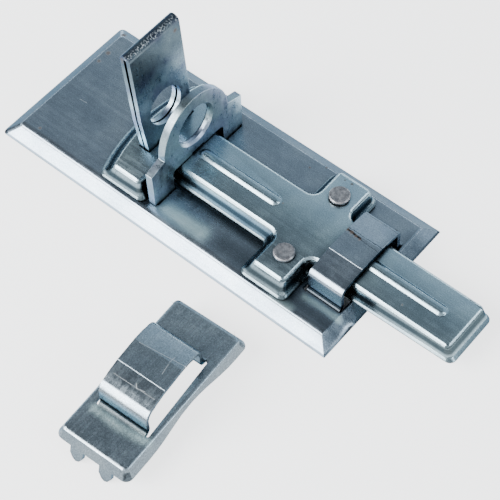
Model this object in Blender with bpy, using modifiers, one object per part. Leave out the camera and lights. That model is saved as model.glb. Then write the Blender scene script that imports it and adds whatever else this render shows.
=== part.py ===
"""Sliding padlock bolt with a hidden fixing, and the keeper that its nose shoots into.

Everything is pressed or bent from sheet. The base plate is a shallow tray with a guide
strap lanced up from it. The bolt is one pressed sheet: a head, a stem, two wings and a nose.
A folded tongue stands in the head and lies against a fixed eye when the bolt is thrown,
so that a padlock passes through both. The keeper is a second, smaller pressing.

Units are metres, +Z is up and +X is the way the bolt is thrown. Sizes are laid out from
the middle of the base plate's underside. The set is then moved as one, so that the origin
lies on the ground under the middle of the whole set.
"""
import math

import bmesh
import bpy
from mathutils import Matrix, Vector
from mathutils.geometry import delaunay_2d_cdt

SET_NAME = "padlock_bolt"

# Clearances shared by all the pieces
SEAT_GAP = 0.0003
SLOT_GAP = 0.0003
OVERRUN = 0.0020
MERGE_DISTANCE = 0.00001

# Base plate, a tray with bevelled edges
PLATE_LENGTH = 0.1200
PLATE_WIDTH = 0.0516
PLATE_RISE = 0.0030
PLATE_SHEET = 0.0013
PLATE_BEVEL = 0.0038
PLATE_BEND = 0.0005
PLATE_HEAD_RADIUS = 0.0016
PLATE_BROW_RADIUS = 0.0013
PLATE_RIM_TRIM = 0.0014
# Flat kept between the strap's window and the bend at the plate's end
PLATE_LAND = 0.0002

# Guide strap lanced up from the base plate
STRAP_WIDTH = 0.0112
STRAP_CROWN = 0.0009
STRAP_BEND = 0.0024
STRAP_FOOT_BEND = 0.0012
STRAP_WINDOW_BACK = 0.0012
STRAP_WINDOW_FRONT = 0.0002
# Room beside the nose inside the strap, and over its rib
STRAP_SIDE_GAP = 0.0025
STRAP_TOP_GAP = 0.0004
# The creases across the crown, as shares of the half span, with shares of the crown's rise
STRAP_CREASE_SHARES = ((0.62, 0.45), (0.31, 1.0))

# Fixing holes in the base plate, covered by the bolt when it is thrown. Their places are
# measured from the eye's back, the strap's window and the edge of the plate's flat.
SCREW_HOLE_RADIUS = 0.0024
SCREW_DIMPLE_RADIUS = 0.0043
SCREW_DIMPLE_DEPTH = 0.0011
SCREW_EYE_DISTANCE = 0.0110
SCREW_WINDOW_DISTANCE = 0.0084
SCREW_EDGE_DISTANCE = 0.0065

# Bolt, one pressed sheet. The foot outline is where its edge runs over the plate, and the
# brow outline is where its walls meet the flat top. Each reach is how far a wall leans in.
BOLT_SHEET = 0.0011
BOLT_HEIGHT = 0.0067
BOLT_BEND = 0.0013
BOLT_TRAVEL = 0.0310
# What is left between the wings and the eye when the bolt is drawn
STOP_GAP = 0.0010
STEM_FOOT_HALF = 0.0091
STEM_REACH = 0.0010
NOSE_LENGTH = 0.0331
NOSE_FOOT_HALF = 0.0091
NOSE_REACH = 0.0008
NOSE_TIP_REACH = 0.0020
# How much higher the nose's trimmed edge runs at its tip than in the strap
NOSE_LIFT = 0.0016
WING_STRAP_GAP = 0.0022
WING_LENGTH = 0.0155
WING_EDGE_GAP = 0.0006
WING_REACH = 0.0015
WING_FRONT_REACH = 0.0011
WING_BACK_REACH = 0.0031
HEAD_EYE_GAP = 0.0013
HEAD_BULGE = 0.0041
HEAD_EDGE_GAP = 0.0009
HEAD_REACH = 0.0011
HEAD_FRONT_REACH = 0.0013
HEAD_CORNER_REACH = 0.0043
HEAD_END_REACH = 0.0049
FOOT_CORNER = 0.0020
BROW_CORNER = 0.0015
FOOT_THROAT = 0.0016
BROW_THROAT = 0.0026
# Share of the way from foot to brow, with share of the bolt's height, for a steep wall
STEEP_WALL_SHARES = ((0.0, 0.0), (0.0, 0.10), (0.28, 0.22), (0.62, 0.31), (0.82, 0.42), (1.0, 0.80))
# The same for a wide wall, which slopes evenly above its upright lip
WIDE_WALL_SHARES = ((0.0, 0.0), (0.0, 0.10), (0.18, 0.22), (0.33, 0.31), (0.50, 0.42), (1.0, 0.80))
# Share of the bend's reach, with share of the bolt's height
BROW_BEND_SHARES = ((0.16, 0.90), (0.48, 0.97), (1.0, 1.0))
# A wall is wide when it reaches this much further than the stem's wall does
WIDE_WALL_REACH = 0.0015

# Raised ribs along the stem and the nose, with the bare lengths left at their ends
RIB_HALF_WIDTH = 0.0021
RIB_HEIGHT = 0.0006
STEM_RIB_EYE_MARGIN = 0.0006
STEM_RIB_WING_MARGIN = 0.0022
NOSE_RIB_START_MARGIN = 0.0019
NOSE_RIB_TIP_MARGIN = 0.0084
RIB_SECTION_SHARES = ((0.0, 0.0), (0.24, 0.45), (0.52, 0.88), (0.80, 1.0))

# Padlock tongue, one strip folded double with its two feet under the head
TONGUE_SHEET = 0.0014
TONGUE_FOOT_GAP = 0.0005
TONGUE_FOLD_GAP = 0.0009
TONGUE_SETBACK = 0.0066
TONGUE_HALF_WIDTH = 0.0098
TONGUE_NECK_HALF_WIDTH = 0.0092
TONGUE_HEIGHT = 0.0378
TONGUE_BEND_HEIGHT = 0.0120
TONGUE_LOW_LEAN = math.radians(4.3)
TONGUE_HIGH_LEAN = math.radians(2.9)
TONGUE_FOOT_REACH = 0.0025
TONGUE_FOOT_BEND = 0.0003
TONGUE_HOLE_RADIUS = 0.0062
# Room from the tongue's back foot to where the head begins to curve
TONGUE_BACK_GAP = 0.0033
# How high the padlock's shackle passes above the bolt's top
PADLOCK_HOLE_RISE = 0.0110

# Padlock eye, a flat plate standing in two slots of the base plate
EYE_SHEET = 0.0024
EYE_EDGE_GAP = 0.0027
EYE_SHOULDER_LOW = 0.0131
EYE_SHOULDER_HIGH = 0.0148
EYE_ARCH_HALF_WIDTH = 0.0132
EYE_ARCH_RISE = 0.0145
EYE_STEM_GAP = 0.0015
EYE_OPENING_CORNER = 0.0016
EYE_TENON_INSET = 0.0012
EYE_TENON_REACH = 0.0019
EYE_HOLE_RADIUS = 0.0064
EYE_HOLE_CHAMFER = 0.0007

# Rivets through the wings, and the plate that they hold inside
RIVET_SIDE_DISTANCE = 0.0090
RIVET_HEAD_RADIUS = 0.0030
RIVET_HEAD_HEIGHT = 0.0009
RIVET_EDGE = 0.0003
RIVET_SHANK_RADIUS = 0.0015
RIVET_TAIL_RADIUS = 0.0022
RIVET_TAIL_HEIGHT = 0.0008
STIFFENER_END_GAP = 0.0044
STIFFENER_SIDE_GAP = 0.00225
STIFFENER_SHEET = 0.0020

# Keeper, a smaller tray with its own lanced strap, standing on pointed prongs
KEEPER_CENTRE = Vector((0.0332, -0.0624, 0.0))
KEEPER_TURN = math.radians(3.0)
KEEPER_SHEET = 0.0012
KEEPER_FOOT_LENGTH = 0.0496
KEEPER_FOOT_WIDTH = 0.0240
KEEPER_BROW_INSET = 0.0010
KEEPER_BEND = 0.0014
KEEPER_TOP = 0.00855
KEEPER_SKIRT = 0.0036
KEEPER_FOOT_CORNER = 0.0022
KEEPER_BROW_CORNER = 0.0012
# The long edges rise and draw in along a wave. Its middle lies off the keeper's own.
KEEPER_WAIST_PINCH = 0.0008
KEEPER_WAIST_OFFSET = 0.0016
KEEPER_WAIST_MARGIN = 0.0057
# What is left of the skirt below its bend where the wave is highest
KEEPER_LIP = 0.0004
# Room beside the nose inside the bridge
KEEPER_SIDE_GAP = 0.0017
KEEPER_BRIDGE_HEIGHT = 0.0088
KEEPER_BRIDGE_BEND = 0.0036
# How far the bridge's near leg stands to the right of its far one
KEEPER_BRIDGE_SKEW = 0.0012
KEEPER_WINDOW_SIDE = 0.0008
# Flat kept between the bridge's window and the bend along the long edges
KEEPER_LAND = 0.0005
PRONG_SIDE_DISTANCE = 0.0073
PRONG_WIDTH = 0.0041
PRONG_POINT = 0.0022
# How far the prongs lean out, as a share of their drop
PRONG_LEAN_SHARE = 0.28
# How far in and how high the middle of the keeper's bend lies, as a share of the bend
KEEPER_BEND_SHARE = 0.3
WAIST_STEPS = 12

CORNER_STEPS = 6
ARC_STEPS = 8
ROUND_STEPS = 36
HOLE_STEPS = 20
# The way of filling that keeps to the inside of the rings
FILL_INSIDE = 1

# Heights that follow from the sizes above
PLATE_TOP = PLATE_RISE
BOLT_FOOT = PLATE_TOP + SEAT_GAP
BOLT_TOP = BOLT_FOOT + BOLT_HEIGHT
BOLT_CEILING = BOLT_TOP - BOLT_SHEET
EYE_OPENING_TOP = BOLT_TOP + SEAT_GAP
PADLOCK_AXIS = BOLT_TOP + PADLOCK_HOLE_RISE
STRAP_HEIGHT = BOLT_TOP + RIB_HEIGHT + STRAP_TOP_GAP + PLATE_SHEET - PLATE_TOP

# Places along X. The strap stands at the end of the plate's flat, the wings lie behind it,
# the eye stands where it stops them after their travel, and the head lies behind the eye.
FLAT_END = PLATE_LENGTH / 2 - PLATE_BEVEL - PLATE_BEND
STRAP_FRONT = FLAT_END - PLATE_LAND - STRAP_WINDOW_FRONT
STRAP_BACK = STRAP_FRONT - STRAP_WIDTH
WING_FRONT = STRAP_BACK - WING_STRAP_GAP
WING_BACK = WING_FRONT - WING_LENGTH
EYE_FACE = WING_BACK - BOLT_TRAVEL - STOP_GAP
EYE_BACK = EYE_FACE - EYE_SHEET
HEAD_FRONT = EYE_BACK - HEAD_EYE_GAP
TONGUE_FACE = HEAD_FRONT - TONGUE_SETBACK
TONGUE_BACK = TONGUE_FACE - 2 * TONGUE_SHEET - TONGUE_FOOT_GAP
HEAD_CORNER = TONGUE_BACK - TONGUE_FOOT_REACH - TONGUE_BACK_GAP
HEAD_END = HEAD_CORNER - HEAD_BULGE
NOSE_TIP = STRAP_FRONT + NOSE_LENGTH
WING_FLAT_FRONT = WING_FRONT - WING_FRONT_REACH
WING_FLAT_BACK = WING_BACK + WING_BACK_REACH
RIVET_PLACE = (WING_FLAT_FRONT + WING_FLAT_BACK) / 2
STIFFENER_WIDTH = WING_FLAT_FRONT - WING_FLAT_BACK - 2 * STIFFENER_SIDE_GAP
SCREW_PLACES = (EYE_BACK - SCREW_EYE_DISTANCE, STRAP_BACK - STRAP_WINDOW_BACK - SCREW_WINDOW_DISTANCE)

# Half widths that follow from the plate's flat, and what the strap and the eye clear
FLAT_SIDE = PLATE_WIDTH / 2 - PLATE_BEVEL - PLATE_BEND
EYE_HALF_WIDTH = FLAT_SIDE - EYE_EDGE_GAP
WING_HALF = FLAT_SIDE - WING_EDGE_GAP
HEAD_HALF = FLAT_SIDE - HEAD_EDGE_GAP
RIVET_SPREAD = WING_HALF - RIVET_SIDE_DISTANCE
STIFFENER_HALF_LENGTH = WING_HALF - STIFFENER_END_GAP
SCREW_SPREAD = FLAT_SIDE - SCREW_EDGE_DISTANCE
STRAP_HALF_SPAN = NOSE_FOOT_HALF + STRAP_SIDE_GAP + PLATE_SHEET
EYE_OPENING_HALF = STEM_FOOT_HALF + EYE_STEM_GAP

# What follows from the keeper's own outline and from the nose that it takes
KEEPER_FLAT_HALF = KEEPER_FOOT_WIDTH / 2 - KEEPER_BROW_INSET - KEEPER_BEND
KEEPER_WINDOW_HALF = KEEPER_FLAT_HALF - KEEPER_LAND - KEEPER_BRIDGE_SKEW / 2
KEEPER_BRIDGE_HALF_WIDTH = KEEPER_WINDOW_HALF - KEEPER_WINDOW_SIDE
KEEPER_BRIDGE_HALF_SPAN = NOSE_FOOT_HALF + KEEPER_SIDE_GAP + KEEPER_SHEET
KEEPER_WAIST_HALF_LENGTH = KEEPER_FOOT_LENGTH / 2 - KEEPER_WAIST_OFFSET - KEEPER_WAIST_MARGIN
KEEPER_WAIST_RISE = KEEPER_SKIRT - KEEPER_BEND - KEEPER_LIP
PRONG_SPREAD = KEEPER_FOOT_WIDTH / 2 - PRONG_SIDE_DISTANCE


def clear_scene():
    """Remove whatever the file opened with."""
    for thing in list(bpy.data.objects):
        bpy.data.objects.remove(thing, do_unlink=True)


def make_collection(name):
    """Make a collection in the scene."""
    group = bpy.data.collections.new(name)
    bpy.context.scene.collection.children.link(group)
    return group


def make_material(name, colour, roughness):
    """Make a plated steel material."""
    material = bpy.data.materials.new(name)
    material.use_nodes = True
    shader = material.node_tree.nodes["Principled BSDF"]
    shader.inputs["Base Color"].default_value = (*colour, 1.0)
    shader.inputs["Metallic"].default_value = 1.0
    shader.inputs["Roughness"].default_value = roughness
    material.diffuse_color = (*colour, 1.0)
    return material


def add_object(name, mesh, group, material):
    """Put a mesh in the scene as a named object with its material."""
    thing = bpy.data.objects.new(name, mesh)
    group.objects.link(thing)
    mesh.materials.clear()
    mesh.materials.append(material)
    return thing


def add_solidify(thing, thickness):
    """Give an open surface the thickness of its sheet, behind the shown side."""
    sheet = thing.modifiers.new("sheet", "SOLIDIFY")
    sheet.thickness = thickness
    sheet.offset = -1.0
    sheet.use_even_offset = True
    sheet.use_quality_normals = True


def add_cut(thing, cutter):
    """Cut one object with another."""
    cut = thing.modifiers.new("cut", "BOOLEAN")
    cut.operation = "DIFFERENCE"
    cut.solver = "EXACT"
    cut.object = cutter
    cutter.hide_render = True
    cutter.display_type = "WIRE"


def round_corner(before, corner, after, radius):
    """Return the points of a fillet at a corner between two straight edges."""
    here = Vector(corner)
    back = (Vector(before) - here).normalized()
    ahead = (Vector(after) - here).normalized()
    half_angle = back.angle(ahead) / 2
    centre = here + (back + ahead).normalized() * (radius / math.sin(half_angle))
    start = here + back * (radius / math.tan(half_angle)) - centre
    sweep = start.angle_signed(here + ahead * (radius / math.tan(half_angle)) - centre)
    points = []
    for step in range(CORNER_STEPS + 1):
        turn = Matrix.Rotation(-sweep * step / CORNER_STEPS, 2)
        points.append(centre + turn @ start)
    return points


def rounded_outline(corners):
    """Turn corners (x, y, radius) into a closed outline. No radius leaves a plain point."""
    points = []
    for index, (x, y, radius) in enumerate(corners):
        before = corners[index - 1][:2]
        after = corners[(index + 1) % len(corners)][:2]
        if radius:
            points.extend(round_corner(before, (x, y), after, radius))
        else:
            points.append(Vector((x, y)))
    return points


def circle_outline(x, y, radius, steps):
    """Return a circle as a closed outline."""
    points = []
    for step in range(steps):
        angle = 2 * math.pi * step / steps
        points.append(Vector((x + radius * math.cos(angle), y + radius * math.sin(angle))))
    return points


def slot_outline(start, end, half_width):
    """Return a slot along X with round ends, as a closed outline."""
    points = []
    for x, first in ((end - half_width, -0.5), (start + half_width, 0.5)):
        for step in range(2 * CORNER_STEPS + 1):
            angle = math.pi * (first + step / (2 * CORNER_STEPS))
            points.append(Vector((x + half_width * math.cos(angle), half_width * math.sin(angle))))
    return points


def add_ring(bm, outline, heights):
    """Add an outline as a ring of vertices, at one height or at a height for each point."""
    if isinstance(heights, float):
        heights = [heights] * len(outline)
    return [bm.verts.new((x, y, z)) for (x, y), z in zip(outline, heights)]


def bridge_rings(bm, low, high):
    """Join two rings of as many vertices with faces."""
    count = len(low)
    for index in range(count):
        nearby = (index + 1) % count
        bm.faces.new((low[index], low[nearby], high[nearby], high[index]))


def stack_rings(bm, rings):
    """Join rings from the first to the last."""
    for low, high in zip(rings, rings[1:]):
        bridge_rings(bm, low, high)


def fill_flat(bm, rings):
    """Fill the flat inside the first ring and outside the others. All run anticlockwise."""
    verts = []
    loops = []
    for ring in rings:
        loops.append(list(range(len(verts), len(verts) + len(ring))))
        verts.extend(ring)
    points = [vertex.co.xy for vertex in verts]
    filled = delaunay_2d_cdt(points, [], loops, FILL_INSIDE, SEAT_GAP / 1000)
    triangles, sources, owners = filled[2], filled[3], filled[5]
    for triangle, owner in zip(triangles, owners):
        if owner == [0]:
            bm.faces.new([verts[sources[index][0]] for index in triangle])


def finish_surface(bm, name):
    """Face an open surface outwards, which is up on its flat top, and return its mesh."""
    bmesh.ops.recalc_face_normals(bm, faces=bm.faces)
    flat = max(bm.faces, key=lambda face: abs(face.normal.z) * face.calc_area())
    if flat.normal.z < 0:
        bmesh.ops.reverse_faces(bm, faces=bm.faces)
    mesh = bpy.data.meshes.new(name)
    bm.to_mesh(mesh)
    bm.free()
    return mesh


def extrude_outlines(name, outlines, thickness):
    """Make a flat plate from closed outlines, the inner ones being holes."""
    curve = bpy.data.curves.new(name, "CURVE")
    curve.dimensions = "2D"
    curve.fill_mode = "BOTH"
    curve.extrude = thickness / 2
    for outline in outlines:
        spline = curve.splines.new("POLY")
        spline.points.add(len(outline) - 1)
        for point, (x, y) in zip(spline.points, outline):
            point.co = (x, y, 0.0, 1.0)
        spline.use_cyclic_u = True
    holder = bpy.data.objects.new(name + "_curve", curve)
    bpy.context.scene.collection.objects.link(holder)
    bpy.context.view_layer.update()
    evaluated = holder.evaluated_get(bpy.context.evaluated_depsgraph_get())
    mesh = bpy.data.meshes.new_from_object(evaluated)
    bpy.data.objects.remove(holder, do_unlink=True)
    bm = bmesh.new()
    bm.from_mesh(mesh)
    bmesh.ops.remove_doubles(bm, verts=bm.verts, dist=thickness / 1000)
    bmesh.ops.recalc_face_normals(bm, faces=bm.faces)
    bm.to_mesh(mesh)
    bm.free()
    return mesh


def box_cutter(name, low, high, group):
    """Make a box to cut with."""
    bm = bmesh.new()
    bmesh.ops.create_cube(bm, size=1.0)
    size = Vector(high) - Vector(low)
    bmesh.ops.scale(bm, vec=size, verts=bm.verts)
    bmesh.ops.translate(bm, vec=(Vector(low) + Vector(high)) / 2, verts=bm.verts)
    mesh = bpy.data.meshes.new(name)
    bm.to_mesh(mesh)
    bm.free()
    thing = bpy.data.objects.new(name, mesh)
    group.objects.link(thing)
    return thing


def strap_section(half_span, height, base, bend):
    """Return the strap's outer face from one foot to the other, as points (y, z)."""
    points = [(half_span + STRAP_FOOT_BEND, base)]
    for step in range(1, CORNER_STEPS):
        angle = math.pi / 2 * step / CORNER_STEPS
        y = half_span + STRAP_FOOT_BEND * (1 - math.sin(angle))
        points.append((y, base + STRAP_FOOT_BEND * (1 - math.cos(angle))))
    points.append((half_span, base + STRAP_FOOT_BEND))
    brow = base + height - STRAP_CROWN
    for step in range(CORNER_STEPS + 1):
        angle = math.pi / 2 * step / CORNER_STEPS
        y = half_span - bend * (1 - math.cos(angle))
        points.append((y, brow - bend * (1 - math.sin(angle))))
    for reach_share, rise_share in STRAP_CREASE_SHARES:
        points.append((half_span * reach_share, brow + STRAP_CROWN * rise_share))
    return [(-y, z) for y, z in points] + [(y, z) for y, z in reversed(points)]


def add_strap(bm, left, right, section, base, skew, back, front):
    """Add a lanced strap across X, and return the ring of the window that it stands over."""
    reach = section[-1][0]
    rows = []
    for y, z in section:
        shift = -skew * y / (2 * reach)
        rows.append((bm.verts.new((left + shift, y, z)), bm.verts.new((right + shift, y, z))))
    for (left_a, right_a), (left_b, right_b) in zip(rows, rows[1:]):
        bm.faces.new((left_a, right_a, right_b, left_b))
    slit = reach - STRAP_FOOT_BEND / 2
    lean = skew / 2
    near = [bm.verts.new((left - back + lean, -slit, base)), *rows[0],
            bm.verts.new((right + front + lean, -slit, base))]
    far = [bm.verts.new((right + front - lean, slit, base)), rows[-1][1], rows[-1][0],
           bm.verts.new((left - back - lean, slit, base))]
    return near + far


def plate_outline(grow, radius):
    """Return the base plate's outline, with mitred corners at the end under the nose."""
    x = PLATE_LENGTH / 2 + grow
    y = PLATE_WIDTH / 2 + grow
    return rounded_outline([(x, -y, 0.0), (x, y, 0.0), (-x, y, radius), (-x, -y, radius)])


def add_dimple(bm, x, y):
    """Add a screw hole with its sunk dimple, and return the ring at the plate's top."""
    rings = []
    for radius, depth in ((SCREW_DIMPLE_RADIUS, 0.0), (SCREW_HOLE_RADIUS, SCREW_DIMPLE_DEPTH)):
        rings.append(add_ring(bm, circle_outline(x, y, radius, HOLE_STEPS), PLATE_TOP - depth))
    stack_rings(bm, rings)
    return rings[0]


def eye_slot(side):
    """Return the outline of the slot that takes one of the eye's tenons."""
    inner = EYE_OPENING_HALF - SLOT_GAP
    outer = EYE_HALF_WIDTH - EYE_TENON_INSET + SLOT_GAP
    low, high = sorted((side * inner, side * outer))
    front = EYE_FACE + SLOT_GAP
    back = EYE_BACK - SLOT_GAP
    return [Vector(point) for point in ((front, low), (front, high), (back, high), (back, low))]


def build_base_plate(group, cutters, material):
    """Make the base plate with its lanced strap, its slots and its fixing holes."""
    bm = bmesh.new()
    spread = PLATE_RIM_TRIM * PLATE_BEVEL / PLATE_RISE
    levels = [(spread, -PLATE_RIM_TRIM, PLATE_HEAD_RADIUS),
              (-PLATE_BEVEL, PLATE_TOP - PLATE_BEND / 4, PLATE_BROW_RADIUS),
              (-PLATE_BEVEL - PLATE_BEND, PLATE_TOP, PLATE_BROW_RADIUS)]
    rings = []
    for grow, height, radius in levels:
        rings.append(add_ring(bm, plate_outline(grow, radius), height))
    stack_rings(bm, rings)
    section = strap_section(STRAP_HALF_SPAN, STRAP_HEIGHT, PLATE_TOP, STRAP_BEND)
    inner = [add_strap(bm, STRAP_BACK, STRAP_FRONT, section, PLATE_TOP, 0.0,
                       STRAP_WINDOW_BACK, STRAP_WINDOW_FRONT)]
    for side in (-1, 1):
        inner.append(add_ring(bm, eye_slot(side), PLATE_TOP))
        for place in SCREW_PLACES:
            inner.append(add_dimple(bm, place, side * SCREW_SPREAD))
    fill_flat(bm, [rings[-1], *inner])
    plate = add_object("base_plate", finish_surface(bm, "base_plate"), group, material)
    add_solidify(plate, PLATE_SHEET)
    reach = Vector((PLATE_LENGTH, PLATE_WIDTH, PLATE_RISE))
    ground = box_cutter("ground_cut", (-reach.x, -reach.y, -reach.z), (reach.x, reach.y, 0.0), cutters)
    add_cut(plate, ground)
    return plate


def bolt_outline(tip, nose, wing_front, wing_half, wing_back, stem, head_front, head_half,
                 head_corner, head_end, corner, throat):
    """Return an outline of the bolt: nose, wings, stem and head with its curved end."""
    half = [(tip, nose, corner), (wing_front, nose, throat), (wing_front, wing_half, corner),
            (wing_back, wing_half, corner), (wing_back, stem, throat), (head_front, stem, throat),
            (head_front, head_half, corner), (head_corner, head_half, corner)]
    sagitta = head_corner - head_end
    radius = (head_half ** 2 + sagitta ** 2) / (2 * sagitta)
    for step in range(1, ARC_STEPS):
        y = head_half * (1 - step / ARC_STEPS)
        half.append((head_end + radius - math.sqrt(radius ** 2 - y ** 2), y, 0.0))
    full = half + [(head_end, 0.0, 0.0)] + [(x, -y, r) for x, y, r in reversed(half)]
    return rounded_outline(full)


def foot_outline():
    """Return where the bolt's edge runs over the base plate."""
    return bolt_outline(NOSE_TIP, NOSE_FOOT_HALF, WING_FRONT, WING_HALF, WING_BACK, STEM_FOOT_HALF,
                        HEAD_FRONT, HEAD_HALF, HEAD_CORNER, HEAD_END, FOOT_CORNER, FOOT_THROAT)


def brow_outline(inset):
    """Return where the bolt's walls meet its top, or a line further in."""
    corner = max(BROW_CORNER - inset, BROW_CORNER / 4)
    return bolt_outline(NOSE_TIP - NOSE_TIP_REACH - inset, NOSE_FOOT_HALF - NOSE_REACH - inset,
                        WING_FLAT_FRONT - inset, WING_HALF - WING_REACH - inset,
                        WING_FLAT_BACK + inset,
                        STEM_FOOT_HALF - STEM_REACH - inset, HEAD_FRONT - HEAD_FRONT_REACH - inset,
                        HEAD_HALF - HEAD_REACH - inset, HEAD_CORNER + HEAD_CORNER_REACH + inset / 2,
                        HEAD_END + HEAD_END_REACH + inset, corner, BROW_THROAT + inset)


def edge_lift(x, height_share):
    """Return how much the wall is lifted at x, because the nose is trimmed towards its tip."""
    reach_share = min(max((x - STRAP_BACK) / (NOSE_TIP - STRAP_BACK), 0.0), 1.0)
    left_share = 1 - height_share / STEEP_WALL_SHARES[-1][1]
    return NOSE_LIFT * reach_share * left_share


def wall_ring(bm, foot, brow, steep_share, wide_share, height_share):
    """Add a ring part of the way up the wall, steep or wide as the wall's reach asks."""
    points = []
    heights = []
    for low, high in zip(foot, brow):
        wide = ((high - low).length - STEM_REACH) / WIDE_WALL_REACH
        wide = min(max(wide, 0.0), 1.0)
        share = steep_share * (1 - wide) + wide_share * wide
        points.append(low.lerp(high, share))
        heights.append(BOLT_FOOT + BOLT_HEIGHT * height_share + edge_lift(low.x, height_share))
    return add_ring(bm, points, heights)


def add_rib(bm, start, end):
    """Add a raised rib on the bolt's top, and return the ring at its foot."""
    rings = []
    for inset_share, rise_share in RIB_SECTION_SHARES:
        inset = RIB_HALF_WIDTH * inset_share
        outline = slot_outline(start + inset, end - inset, RIB_HALF_WIDTH - inset)
        rings.append(add_ring(bm, outline, BOLT_TOP + RIB_HEIGHT * rise_share))
    stack_rings(bm, rings)
    bm.faces.new(rings[-1])
    return rings[0]


def tongue_slot():
    """Return the outline of the slot in the head that the tongue stands in."""
    front = TONGUE_FACE + SLOT_GAP
    back = TONGUE_BACK - SLOT_GAP
    half = TONGUE_NECK_HALF_WIDTH + SLOT_GAP
    return [Vector(point) for point in ((front, -half), (front, half), (back, half), (back, -half))]


def build_bolt(group, material):
    """Make the pressed bolt."""
    bm = bmesh.new()
    foot = foot_outline()
    brow = brow_outline(0.0)
    rings = []
    for (steep, height_share), (wide, _) in zip(STEEP_WALL_SHARES, WIDE_WALL_SHARES):
        rings.append(wall_ring(bm, foot, brow, steep, wide, height_share))
    for reach_share, height_share in BROW_BEND_SHARES:
        outline = brow_outline(BOLT_BEND * reach_share)
        rings.append(add_ring(bm, outline, BOLT_FOOT + BOLT_HEIGHT * height_share))
    stack_rings(bm, rings)
    inner = [add_rib(bm, EYE_FACE + STEM_RIB_EYE_MARGIN, WING_BACK - STEM_RIB_WING_MARGIN),
             add_rib(bm, STRAP_BACK + NOSE_RIB_START_MARGIN, NOSE_TIP - NOSE_RIB_TIP_MARGIN),
             add_ring(bm, tongue_slot(), BOLT_TOP)]
    for side in (-1, 1):
        hole = circle_outline(RIVET_PLACE, side * RIVET_SPREAD, RIVET_SHANK_RADIUS + SEAT_GAP, HOLE_STEPS)
        inner.append(add_ring(bm, hole, BOLT_TOP))
    fill_flat(bm, [rings[-1], *inner])
    bolt = add_object("bolt", finish_surface(bm, "bolt"), group, material)
    add_solidify(bolt, BOLT_SHEET)
    return bolt


def tongue_thickness(height_share):
    """Return the thickness of the doubled strip, which opens a little towards its fold."""
    gap = TONGUE_FOOT_GAP + (TONGUE_FOLD_GAP - TONGUE_FOOT_GAP) * height_share
    return 2 * TONGUE_SHEET + gap


def tongue_face(height):
    """Return how far the tongue's front face leans back at a height above the bolt's top."""
    low = min(height, TONGUE_BEND_HEIGHT)
    high = max(height - TONGUE_BEND_HEIGHT, 0.0)
    return TONGUE_FACE - low * math.tan(TONGUE_LOW_LEAN) - high * math.tan(TONGUE_HIGH_LEAN)


def tongue_path():
    """Return the outside of the folded strip as (x, z, half width), foot to foot."""
    fold_radius = tongue_thickness(1.0) / 2
    straight = TONGUE_HEIGHT - fold_radius
    ceiling = BOLT_CEILING - SEAT_GAP
    root = TONGUE_FACE
    front = [(root + TONGUE_FOOT_REACH, ceiling, TONGUE_NECK_HALF_WIDTH),
             (root + TONGUE_FOOT_BEND, ceiling, TONGUE_NECK_HALF_WIDTH),
             (root, ceiling + TONGUE_FOOT_BEND, TONGUE_NECK_HALF_WIDTH)]
    for height, half in ((0.0, TONGUE_NECK_HALF_WIDTH), (TONGUE_BEND_HEIGHT, TONGUE_HALF_WIDTH)):
        front.append((tongue_face(height), BOLT_TOP + height, half))
    back = []
    for x, z, half in front:
        share = max(z - BOLT_TOP, 0.0) / straight
        back.append((x - tongue_thickness(share), z, half))
    back[0] = (TONGUE_BACK - TONGUE_FOOT_REACH, ceiling, TONGUE_NECK_HALF_WIDTH)
    back[1] = (TONGUE_BACK - TONGUE_FOOT_BEND, ceiling, TONGUE_NECK_HALF_WIDTH)
    fold = []
    centre = tongue_face(straight) - fold_radius
    for step in range(2 * CORNER_STEPS + 1):
        angle = math.pi * step / (2 * CORNER_STEPS)
        z = BOLT_TOP + straight + fold_radius * math.sin(angle)
        fold.append((centre + fold_radius * math.cos(angle), z, TONGUE_HALF_WIDTH))
    return front + fold + back[::-1]


def build_tongue(group, cutters, material):
    """Make the folded tongue with its padlock hole."""
    bm = bmesh.new()
    rows = []
    for x, z, half in tongue_path():
        rows.append((bm.verts.new((x, -half, z)), bm.verts.new((x, half, z))))
    for (near_a, far_a), (near_b, far_b) in zip(rows, rows[1:]):
        bm.faces.new((near_a, far_a, far_b, near_b))
    mesh = bpy.data.meshes.new("padlock_tongue")
    bm.to_mesh(mesh)
    bm.free()
    tongue = add_object("padlock_tongue", mesh, group, material)
    add_solidify(tongue, TONGUE_SHEET)
    add_cut(tongue, hole_cutter("tongue_hole", tongue_face(PADLOCK_AXIS - BOLT_TOP), cutters))
    return tongue


def hole_cutter(name, place, cutters):
    """Make a round cutter along X at the height of the padlock's shackle."""
    bm = bmesh.new()
    depth = 2 * (tongue_thickness(1.0) + OVERRUN)
    bmesh.ops.create_cone(bm, cap_ends=True, segments=ROUND_STEPS, radius1=TONGUE_HOLE_RADIUS,
                          radius2=TONGUE_HOLE_RADIUS, depth=depth)
    bmesh.ops.rotate(bm, matrix=Matrix.Rotation(math.pi / 2, 3, "Y"), verts=bm.verts)
    mesh = bpy.data.meshes.new(name)
    bm.to_mesh(mesh)
    bm.free()
    cutter = bpy.data.objects.new(name, mesh)
    cutters.objects.link(cutter)
    cutter.location = (place, 0.0, PADLOCK_AXIS)
    return cutter


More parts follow.
